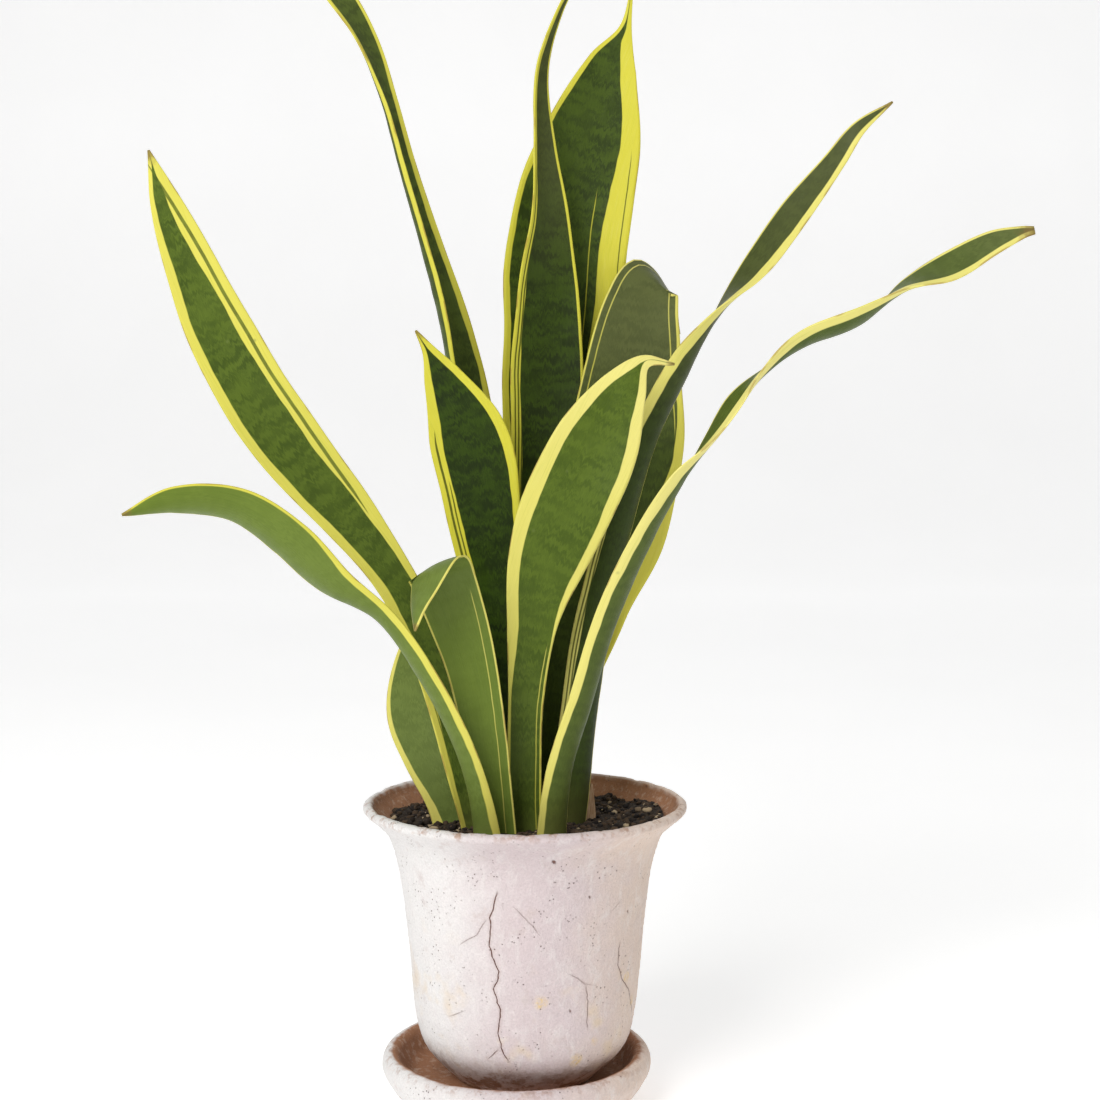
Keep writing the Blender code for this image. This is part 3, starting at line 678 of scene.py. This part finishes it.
def crack_offset(angle, height, path, seed):
    """Signed distance from a crack, and how much it shows here; (0, 0) above or below it."""
    for (a0, h0), (a1, h1) in zip(path, path[1:]):
        if h1 <= height <= h0:
            middle = blend(a1, a0, (height - h1) / (h0 - h1))
            turn = (angle - middle + 180.0) % 360.0 - 180.0
            offset = math.radians(turn) * UNROLLED_RADIUS
            offset += 0.9 * wobble(height, 0.0, 0.0, 5.0, seed) + 0.5 * wobble(height, 0.0, 0.0, 2.2, seed)
            lean = math.radians(a1 - a0) * UNROLLED_RADIUS
            offset *= (h0 - h1) / math.hypot(h0 - h1, lean)
            shown = ease((height - path[-1][1]) / 4.0) * ease((path[0][1] - height) / 4.0)
            return offset, shown * clamp(2.5 - abs(offset) / 1.8)
    return 0.0, 0.0


def spot_strength(spot, spots):
    """How far inside the nearest of some round spots a point on the unrolled pot is."""
    best = 0.0
    for angle, height, size in spots:
        near = (spot - Vector((math.radians(angle) * UNROLLED_RADIUS, height))).length
        best = max(best, clamp(1.0 - near / size))
    return best


def roughen_pot(shape):
    """Hand-made lumps, brush marks, a chipped lip, cracks and pits, with layers to colour them."""
    inside_layer = shape.verts.layers.float.new("inside")
    worn_layer = shape.verts.layers.float.new("worn")
    pit_layer = shape.verts.layers.float.new("pit")
    stain_layer = shape.verts.layers.float.new("stain")
    offset_layers = [shape.verts.layers.float.new("crack_offset_%d" % i) for i in range(CRACK_LAYERS)]
    shown_layers = [shape.verts.layers.float.new("crack_shown_%d" % i) for i in range(CRACK_LAYERS)]
    axis = Vector((POT_AXIS[0], POT_AXIS[1], 0.0))
    for vert in shape.verts:
        co = vert.co / MM
        spoke = Vector((co.x, co.y, 0.0)) - axis
        radius = spoke.length
        if radius < 12.0:
            continue
        angle = math.atan2(spoke.y, spoke.x)
        outward = spoke / radius
        normal = vert.normal.copy()
        outer = normal.dot(outward)
        x, y, z = co
        push = 0.55 * wobble(x, y, z, 38.0, 1.0) + 0.22 * wobble(x, y, z, 9.0, 2.0)
        push += 0.13 * wobble(x, y, z * 2.2, 3.2, 3.0)
        push += 0.10 * math.sin(z * 1.9 + 2.0 * wobble(x, y, z, 20.0, 5.0)) * max(0.0, outer)
        lip = clamp((z - (RIM_TOP - 5.0)) / 5.0)
        chip = max(0.0, wobble(x, y, 0.0, 7.0, 8.0) - 0.22) * 2.2 * lip
        chip += max(0.0, wobble(x, y, 0.0, 2.6, 6.0) - 0.25) * 0.9 * lip
        floor_side = z > RIM_TOP - 152.5
        edge = clamp((86.0 - radius + 1.3 * wobble(x, y, z, 6.0, 9.0)) / 1.4)
        facing_in = clamp(0.5 - 2.0 * outer) if z < RIM_TOP - 2.0 else 1.0
        vert[inside_layer] = edge * facing_in if floor_side else 0.0
        vert[worn_layer] = clamp(lip * 0.6 + chip)
        if outer > 0.1 and z < RIM_TOP - 4.0:
            spot = Vector((angle * UNROLLED_RADIUS, z))
            for i, (strength, path) in enumerate(CRACKS + SCRATCHES):
                offset, shown = crack_offset(math.degrees(angle), z, path, i)
                layer = i % CRACK_LAYERS
                if shown > 0.0 and shown * strength > vert[shown_layers[layer]]:
                    vert[offset_layers[layer]] = offset
                    vert[shown_layers[layer]] = shown * strength
                    push -= 0.45 * strength * clamp(1.0 - abs(offset) / 1.3) * clamp(shown)
            vert[pit_layer] = spot_strength(spot, PITS)
            vert[stain_layer] = spot_strength(spot, STAINS)
            push -= 0.6 * vert[pit_layer]
        vert.co += normal * push * MM
        vert.co.z -= chip * MM
    return shape


def clay_material(name, settings, saucer=False):
    """Whitewashed rough clay: painted light makes the left cool white, the middle is pink, and the right is
    cream, partly the wash's own tint and partly painted shade.
    """
    n = Nodes(name, 0.92)
    place = n.place()
    x, y, z = n.split(place)
    tall = n.vector(x, y, n.math('MULTIPLY', z, 0.45))
    cloud = n.noise(place, 28.0, 4.0, 0.6)
    brush = n.noise(tall, 160.0, 4.0, 0.7, 0.6)
    grain = n.noise(place, 900.0, 3.0, 0.7)
    # Painted light and shade: a lighter, cooler left side stands in for the lit side and a darker cream right
    # side for the shaded side, over the wash's own pink and cream tints.
    lit_side_fade = n.step(n.math('ADD', x, n.math('MULTIPLY', n.math('SUBTRACT', cloud, 0.5), 0.05)), -0.055, 0.005)
    shaded_side_fade = n.step(n.math('ADD', x, n.math('MULTIPLY', n.math('SUBTRACT', cloud, 0.5), 0.06)), 0.015, 0.075)
    wash = n.mix(lit_side_fade, settings.lit_cool_wash, settings.wash_middle)
    wash = n.mix(shaded_side_fade, wash, settings.shaded_cream_wash)
    wash = n.mix(n.step(brush, 0.45, 0.75, 0.0, 0.45), wash, (0.86, 0.82, 0.80, 1))
    wash = n.mix(n.step(n.noise(place, 75.0, 4.0, 0.7), 0.55, 0.75, 0.0, 0.5), wash, (0.60, 0.50, 0.47, 1))
    clay = n.mix(n.noise(place, 90.0, 4.0, 0.65), settings.bare_clay, (0.30, 0.13, 0.06, 1))
    clay = n.mix(n.step(n.noise(place, 220.0, 3.0, 0.7), 0.5, 0.68, 0.0, 0.55), clay, (0.60, 0.44, 0.34, 1))
    inside = n.attribute("inside")
    speck = n.step(n.cells(place, 420.0), 0.22, 0.12)
    speck = n.math('MULTIPLY', speck, n.step(n.noise(place, 60.0, 2.0), 0.50, 0.66))
    worn = n.math('MULTIPLY', n.attribute("worn"), n.step(n.noise(place, 130.0, 3.0, 0.7), 0.5, 0.62))
    colour = n.mix(n.math('MAXIMUM', inside, n.math('MULTIPLY', worn, 0.8)), wash, clay)
    colour = n.mix(n.math('MULTIPLY', speck, 0.75), colour, (0.16, 0.10, 0.08, 1))
    if not saucer:
        foot = n.step(n.math('ADD', z, n.math('MULTIPLY', n.math('SUBTRACT', cloud, 0.5), 0.03)), 0.046, 0.026)
        blotch = n.step(n.noise(place, 110.0, 4.0, 0.7), 0.42, 0.6, 0.25, 0.9)
        colour = n.mix(n.math('MULTIPLY', foot, blotch), colour, (0.28, 0.14, 0.07, 1))
        stain = n.step(n.noise(place, 34.0, 3.0, 0.6), 0.56, 0.72, 0.0, 0.55)
        low = n.step(z, 0.13, 0.06)
        colour = n.mix(n.math('MULTIPLY', stain, low), colour, (0.78, 0.62, 0.42, 1))
        yellowed = n.math('MULTIPLY', n.step(n.attribute("stain"), 0.05, 0.7),
                          n.step(n.noise(place, 260.0, 4.0, 0.7), 0.42, 0.62, 0.2, 0.95))
        colour = n.mix(yellowed, colour, (0.80, 0.58, 0.26, 1))
        flaw = n.step(n.attribute("pit"), 0.15, 0.7, 0.0, 0.9)
        for i in range(CRACK_LAYERS):
            away = n.math('ABSOLUTE', n.attribute("crack_offset_%d" % i))
            ragged = n.math('ADD', away, n.math('MULTIPLY', n.noise(place, 700.0, 3.0, 0.7), 0.5))
            shown = n.attribute("crack_shown_%d" % i)
            colour = n.mix(n.math('MULTIPLY', shown, n.step(away, 2.2, 0.3, 0.0, 0.3)), colour,
                           (0.48, 0.34, 0.29, 1))
            flaw = n.math('MAXIMUM', flaw, n.math('MULTIPLY', n.step(ragged, 0.62, 0.34),
                                                  n.math('MULTIPLY', shown, 1.3, held=True)))
        colour = n.mix(flaw, colour, (0.17, 0.06, 0.035, 1))
    shade = n.step(grain, 0.3, 0.7, 0.88, 1.0)
    colour = n.mix(1.0, colour, n.vector(shade, shade, shade), 'MULTIPLY')
    height = n.math('ADD', n.math('MULTIPLY', brush, 0.8), n.math('MULTIPLY', grain, 0.35))
    height = n.math('SUBTRACT', height, n.math('MULTIPLY', speck, 0.6))
    if not saucer:
        height = n.math('SUBTRACT', height, n.math('MULTIPLY', flaw, 0.9))
    return n.finish(colour, height, 0.9, 0.0012)


def soil_height(x, y):
    """Height of the soil's surface in millimetres."""
    ripples = 1.1 * math.sin(0.11 * x + 0.7) * math.cos(0.09 * y - 0.4) + 0.7 * math.sin(0.21 * x - 0.17 * y)
    bank = 4.0 * max(0.0, (x - 50.0) / 24.0) ** 2
    return SOIL_TOP + ripples + min(bank, 4.0)


def soil_material():
    """Dark crumbly soil with a few pale flecks."""
    n = Nodes("soil_look", 0.95)
    place = n.place()
    wet = n.noise(place, 120.0, 4.0, 0.7)
    colour = n.mix(wet, (0.008, 0.005, 0.003, 1), (0.055, 0.034, 0.018, 1))
    fleck = n.step(n.cells(place, 300.0), 0.22, 0.12)
    fleck = n.math('MULTIPLY', fleck, n.step(n.noise(place, 210.0, 2.0), 0.56, 0.62))
    colour = n.mix(fleck, colour, (0.42, 0.33, 0.22, 1))
    return n.finish(colour, n.noise(place, 1400.0, 4.0, 0.75), 0.8, 0.0012)


def crumb_material():
    """Lumps of soil, each its own shade."""
    n = Nodes("crumb_look", 0.95)
    shade = n.attribute("shade")
    dark = n.mix(n.step(shade, 0.0, 0.8), (0.007, 0.004, 0.003, 1), (0.07, 0.042, 0.022, 1))
    colour = n.mix(n.step(shade, 0.94, 0.96), dark, (0.42, 0.32, 0.2, 1))
    return n.finish(colour, n.noise(n.place(), 1500.0, 3.0, 0.7), 0.6, 0.0008)


def sheath_material():
    """A dry papery sheath."""
    n = Nodes("sheath_look", 0.8)
    streaks = n.noise(n.vector(n.math('MULTIPLY', n.attribute("across"), 3.0), n.math(
        'MULTIPLY', n.attribute("travelled"), 0.15), 0.0), 1.0, 4.0, 0.7)
    colour = n.mix(n.step(streaks, 0.35, 0.7), (0.40, 0.22, 0.11, 1), (0.66, 0.48, 0.30, 1))
    return n.finish(colour, streaks, 0.6, 0.0006)


def build_soil():
    """Uneven soil surface with a skirt running down the pot's wall."""
    shape = bmesh.new()
    rings, sides = 60, 200
    bmesh.ops.create_circle(shape, cap_ends=False, radius=SOIL_RADIUS * MM, segments=sides)
    for vert in shape.verts:
        vert.co += Vector((POT_AXIS[0], POT_AXIS[1], SOIL_TOP)) * MM
    loop = shape.edges[:]
    for ring in range(1, rings + 1):
        made = bmesh.ops.extrude_edge_only(shape, edges=loop)["geom"]
        verts = [item for item in made if isinstance(item, bmesh.types.BMVert)]
        loop = [item for item in made if isinstance(item, bmesh.types.BMEdge)]
        radius = SOIL_RADIUS * (1.0 - ring / (rings + 0.5))
        for vert in verts:
            spoke = Vector((vert.co.x / MM - POT_AXIS[0], vert.co.y / MM - POT_AXIS[1], 0.0)).normalized()
            vert.co.x = (POT_AXIS[0] + spoke.x * radius) * MM
            vert.co.y = (POT_AXIS[1] + spoke.y * radius) * MM
    bmesh.ops.holes_fill(shape, edges=loop, sides=0)
    outer = [edge for edge in shape.edges if edge.is_boundary]
    made = bmesh.ops.extrude_edge_only(shape, edges=outer)["geom"]
    low = [item for item in made if isinstance(item, bmesh.types.BMVert)]
    low_edges = [item for item in made if isinstance(item, bmesh.types.BMEdge)]
    lowered = set(low)
    for vert in shape.verts:
        if vert in lowered:
            continue
        x, y = vert.co.x / MM, vert.co.y / MM
        rough = 1.0 * wobble(x, y, 0.0, 6.0, 3.0) + 0.8 * wobble(x, y, 0.0, 2.3, 5.0)
        vert.co.z = (soil_height(x, y) + rough) * MM
    for vert in low:
        spoke = Vector((vert.co.x / MM - POT_AXIS[0], vert.co.y / MM - POT_AXIS[1], 0.0)).normalized()
        vert.co = Vector((POT_AXIS[0] + spoke.x * 58.0, POT_AXIS[1] + spoke.y * 58.0, 120.0)) * MM
    bmesh.ops.holes_fill(shape, edges=low_edges, sides=0)
    bmesh.ops.recalc_face_normals(shape, faces=shape.faces[:])
    return shape


def build_crumbs():
    """Loose lumps of soil over the surface."""
    shape = bmesh.new()
    shade = shape.verts.layers.float.new("shade")
    dice = random.Random(POT_SEED)
    for i in range(CRUMBS):
        radius = SOIL_RADIUS * 0.985 * math.sqrt(dice.random())
        angle = dice.uniform(0.0, math.tau)
        x, y = POT_AXIS[0] + radius * math.cos(angle), POT_AXIS[1] + radius * math.sin(angle)
        size = dice.choice((0.45, 0.6, 0.8, 1.0, 1.3, 1.7)) * dice.uniform(0.8, 1.2)
        place = Matrix.Translation(Vector((x, y, soil_height(x, y) + size * 0.35)) * MM)
        turn = Matrix.Rotation(dice.uniform(0.0, math.tau), 4, 'Z') @ Matrix.Rotation(
            dice.uniform(-0.8, 0.8), 4, 'X')
        squash = Matrix.Diagonal((size * dice.uniform(0.8, 1.5), size, size * dice.uniform(0.5, 0.9), 1.0))
        made = bmesh.ops.create_icosphere(shape, subdivisions=1 if size < 1.2 else 2, radius=MM,
                                          matrix=place @ turn @ squash)
        own = dice.random()
        for vert in made["verts"]:
            vert[shade] = own
            middle = Vector((x, y, soil_height(x, y))) * MM
            away = vert.co - middle
            lump = 1.0 + 0.28 * wobble(vert.co.x / MM, vert.co.y / MM, vert.co.z / MM, 0.9, 2.0)
            vert.co = middle + away * lump
    return shape


def build_sheath():
    """The small dry sheath beside the leaf bases."""
    looks = dict(left=((0, 0), (1, 0)), right=((0, 0), (1, 0)), tone=0, bloom_and_sheen=((0, 0), (1, 0)),
                 cream=((0, 0), (1, 0)), bands=0, stripes=(), lines=())
    return build_leaf("dry_sheath", DRY_SHEATH, looks, 0.7)


def colour_property(name, description, value):
    """A colour the user can change."""
    return bpy.props.FloatVectorProperty(name=name, description=description, subtype='COLOR', size=4,
                                         min=0.0, max=1.0, default=value)


class SnakePlantLeafSettings(bpy.types.PropertyGroup):
    """Colours of the leaves."""

    light_green: colour_property("Light green", "Blade colour of the palest leaves", (0.150, 0.215, 0.026, 1))
    mid_green: colour_property("Mid green", "Blade colour between the bands of dark leaves",
                               (0.066, 0.112, 0.004, 1))
    dark_green: colour_property("Dark green", "Colour of the crossbands", (0.005, 0.013, 0.0008, 1))
    margin_yellow: colour_property("Margin yellow", "Colour of fresh margins", (0.60, 0.56, 0.012, 1))
    margin_cream: colour_property("Margin cream", "Colour of old margins", (0.86, 0.78, 0.30, 1))


class SnakePlantPotSettings(bpy.types.PropertyGroup):
    """Colours of the pot and the saucer."""

    # The cool left colour is painted light on the lit side; the cream right colour is partly the wash's own
    # tint and partly painted shade.
    lit_cool_wash: colour_property("Cool wash", "Whitewash on the left side", (0.83, 0.81, 0.80, 1))
    wash_middle: colour_property("Pink wash", "Whitewash in the middle", (0.68, 0.58, 0.59, 1))
    shaded_cream_wash: colour_property("Cream wash", "Whitewash on the right side", (0.76, 0.62, 0.53, 1))
    bare_clay: colour_property("Bare clay", "Clay where there is no wash", (0.44, 0.22, 0.12, 1))


class SnakePlantStageSettings(bpy.types.PropertyGroup):
    """Light and camera."""

    key_power: bpy.props.FloatProperty(name="Key light", description="Power of the main light, in watts",
                                       default=30.0, min=0.0)
    fill_power: bpy.props.FloatProperty(name="Fill light", description="Power of the fill light, in watts",
                                        default=2.5, min=0.0)
    world_strength: bpy.props.FloatProperty(name="Surroundings", description="Brightness all round",
                                            default=0.42, min=0.0)
    backdrop_glow: bpy.props.FloatProperty(name="Backdrop", description="Extra brightness of the backdrop",
                                           default=0.36, min=0.0)
    lens: bpy.props.FloatProperty(name="Lens", description="Focal length on a 36 mm sensor, in mm",
                                  default=59.73, min=1.0)
    pitch: bpy.props.FloatProperty(name="Pitch", description="How far the camera looks down",
                                   default=math.radians(4.07), subtype='ANGLE')


class SNAKE_OT_leaves(bpy.types.Operator):
    """Models the twelve leaves with their striped material"""

    bl_idname = "snake_plant.leaves"
    bl_label = "Build leaves"

    def execute(self, context):
        """Build every leaf."""
        material = leaf_material(context.scene.snake_plant_leaf)
        for i, (name, keys) in enumerate(LEAVES.items()):
            shape = build_leaf(name, keys, LOOKS[name], 1.0 + 0.37 * i)
            new_piece("look_" + name, shape, material, name)
        return {'FINISHED'}


class SNAKE_OT_pot(bpy.types.Operator):
    """Models the cracked, whitewashed pot"""

    bl_idname = "snake_plant.pot"
    bl_label = "Build pot"

    def execute(self, context):
        """Build the pot."""
        outline = [(radius, RIM_TOP - depth) for radius, depth in POT_OUTSIDE + POT_INSIDE]
        shape = spin_outline(even_outline(outline, POT_ROWS, True), POT_AXIS, POT_STEPS, closed=True)
        shape.normal_update()
        roughen_pot(shape)
        new_piece("look_pot", shape, clay_material("pot_look", context.scene.snake_plant_pot), "pot")
        return {'FINISHED'}


class SNAKE_OT_saucer(bpy.types.Operator):
    """Models the thick clay saucer"""

    bl_idname = "snake_plant.saucer"
    bl_label = "Build saucer"

    def execute(self, context):
        """Build the saucer."""
        shape = spin_outline(even_outline(SAUCER_OUTLINE, SAUCER_ROWS, False), (0.0, 0.0), SAUCER_STEPS,
                             closed=False)
        shape.normal_update()
        inside = shape.verts.layers.float.new("inside")
        worn = shape.verts.layers.float.new("worn")
        for vert in shape.verts:
            x, y, z = vert.co / MM
            radius = math.hypot(x, y)
            if radius < 31.0 or z < 0.5:
                vert[inside] = 1.0 if z > 5.0 else 0.0
                continue
            lip = clamp((z - 26.0) / 4.0)
            push = 0.5 * wobble(x, y, z, 30.0, 1.5) + 0.2 * wobble(x, y, z, 8.0, 2.5)
            push += 0.12 * wobble(x, y, z, 2.8, 4.5)
            chip = max(0.0, wobble(x, y, 0.0, 6.0, 3.5) - 0.3) * 1.4 * lip
            vert[inside] = clamp((71.2 - radius + 1.4 * wobble(x, y, z, 5.0, 6.5)) / 1.6) if z > 12.0 else 0.0
            vert[worn] = clamp(lip * 0.5 + chip)
            if z > 16.0 and radius < 58.0:
                push = min(push, 0.0)
            vert.co += vert.normal * push * MM
            vert.co.z -= chip * MM
        material = clay_material("saucer_look", context.scene.snake_plant_pot, saucer=True)
        new_piece("look_saucer", shape, material, "saucer")
        return {'FINISHED'}


class SNAKE_OT_soil(bpy.types.Operator):
    """Models the soil, its loose crumbs and the dry sheath"""

    bl_idname = "snake_plant.soil"
    bl_label = "Build soil"

    def execute(self, context):
        """Build the soil."""
        new_piece("look_soil", build_soil(), soil_material(), "soil")
        new_piece("look_crumbs", build_crumbs(), crumb_material())
        new_piece("look_dry_sheath", build_sheath(), sheath_material(), "dry_sheath")
        return {'FINISHED'}


def area_light(name, place, target, size, power, colour):
    """A soft rectangular light aimed at a point."""
    data = bpy.data.lights.new(name, 'AREA')
    data.shape = 'RECTANGLE'
    data.size = data.size_y = size
    data.energy = power
    data.color = colour
    light = bpy.data.objects.new(name, data)
    bpy.context.scene.collection.objects.link(light)
    light.location = place
    light.rotation_euler = (Vector(target) - Vector(place)).to_track_quat('-Z', 'Y').to_euler()
    return light


class SNAKE_OT_stage(bpy.types.Operator):
    """Adds the floor, lights, surroundings and camera"""

    bl_idname = "snake_plant.stage"
    bl_label = "Build stage"

    def execute(self, context):
        """Build the stage."""
        settings = context.scene.snake_plant_stage
        shape = bmesh.new()
        bmesh.ops.create_grid(shape, x_segments=8, y_segments=1, size=3.0)
        back = [edge for edge in shape.edges if all(vert.co.y > 2.9 for vert in edge.verts)]
        reach, rise = 1.2, 0.0
        for step in range(1, 13):
            angle = math.pi / 2 * step / 12
            made = bmesh.ops.extrude_edge_only(shape, edges=back)["geom"]
            back = [item for item in made if isinstance(item, bmesh.types.BMEdge)]
            for vert in [item for item in made if isinstance(item, bmesh.types.BMVert)]:
                vert.co.y = 3.0 + reach * math.sin(angle)
                vert.co.z = rise + reach * (1.0 - math.cos(angle))
        made = bmesh.ops.extrude_edge_only(shape, edges=back)["geom"]
        for vert in [item for item in made if isinstance(item, bmesh.types.BMVert)]:
            vert.co.z = 4.0
        bmesh.ops.recalc_face_normals(shape, faces=shape.faces[:])
        mesh = bpy.data.meshes.new("floor")
        shape.to_mesh(mesh)
        shape.free()
        floor = bpy.data.objects.new("floor", mesh)
        context.scene.collection.objects.link(floor)
        n = Nodes("floor_look", 0.7)
        n.shader.inputs["Emission Color"].default_value = (1.0, 1.0, 1.0, 1.0)
        n.shader.inputs["Emission Strength"].default_value = settings.backdrop_glow
        tone = n.step(n.noise(n.place(), 3.0, 2.0), 0.3, 0.7, 0.90, 0.92)
        mesh.materials.append(n.finish(n.vector(tone, tone, tone)))
        mesh.shade_smooth()

        area_light("key", (-0.9, -1.5, 1.5), (0.0, 0.0, 0.3), 1.1, settings.key_power, (1.0, 0.99, 0.97))
        area_light("fill", (1.4, -1.0, 0.9), (0.0, 0.0, 0.3), 1.2, settings.fill_power, (1.0, 0.97, 0.93))
        area_light("top", (0.2, 0.6, 2.0), (0.0, 0.0, 0.3), 1.4, settings.fill_power, (1.0, 1.0, 1.0))

        world = bpy.data.worlds.new("surroundings")
        world.use_nodes = True
        back_light = world.node_tree.nodes["Background"]
        back_light.inputs["Color"].default_value = (1.0, 1.0, 1.0, 1.0)
        back_light.inputs["Strength"].default_value = settings.world_strength
        context.scene.world = world
        context.scene.view_settings.view_transform = 'Standard'

        lens = bpy.data.cameras.new("camera")
        lens.lens = settings.lens
        lens.sensor_width = 36.0
        lens.dof.use_dof = False
        camera = bpy.data.objects.new("camera", lens)
        context.scene.collection.objects.link(camera)
        camera.location = (0.0188, -1.006, 0.3823)
        camera.rotation_euler = (math.pi / 2 - settings.pitch, 0.0, 0.0)
        context.scene.camera = camera
        return {'FINISHED'}


class SNAKE_PT_panel(bpy.types.Panel):
    """Buttons for every piece"""

    bl_idname = "SNAKE_PT_panel"
    bl_label = "Snake Plant"
    bl_space_type = 'VIEW_3D'
    bl_region_type = 'UI'
    bl_category = "Snake Plant"

    def draw(self, context):
        """List the operators and their settings."""
        for operator in OPERATORS:
            self.layout.operator(operator.bl_idname)
        for group in (context.scene.snake_plant_leaf, context.scene.snake_plant_pot,
                      context.scene.snake_plant_stage):
            for key in group.__annotations__:
                self.layout.prop(group, key)


SETTINGS = (SnakePlantLeafSettings, SnakePlantPotSettings, SnakePlantStageSettings)
OPERATORS = (SNAKE_OT_leaves, SNAKE_OT_pot, SNAKE_OT_saucer, SNAKE_OT_soil, SNAKE_OT_stage)


def register():
    """Register the classes and their settings."""
    for cls in SETTINGS + OPERATORS + (SNAKE_PT_panel,):
        bpy.utils.register_class(cls)
    bpy.types.Scene.snake_plant_leaf = bpy.props.PointerProperty(type=SnakePlantLeafSettings)
    bpy.types.Scene.snake_plant_pot = bpy.props.PointerProperty(type=SnakePlantPotSettings)
    bpy.types.Scene.snake_plant_stage = bpy.props.PointerProperty(type=SnakePlantStageSettings)


def unregister():
    """Undo register."""
    del bpy.types.Scene.snake_plant_leaf
    del bpy.types.Scene.snake_plant_pot
    del bpy.types.Scene.snake_plant_stage
    for cls in reversed(SETTINGS + OPERATORS + (SNAKE_PT_panel,)):
        bpy.utils.unregister_class(cls)


def main():
    """Build everything."""
    register()
    bpy.ops.snake_plant.leaves()
    bpy.ops.snake_plant.pot()
    bpy.ops.snake_plant.saucer()
    bpy.ops.snake_plant.soil()
    bpy.ops.snake_plant.stage()


if __name__ == "__main__":
    main()
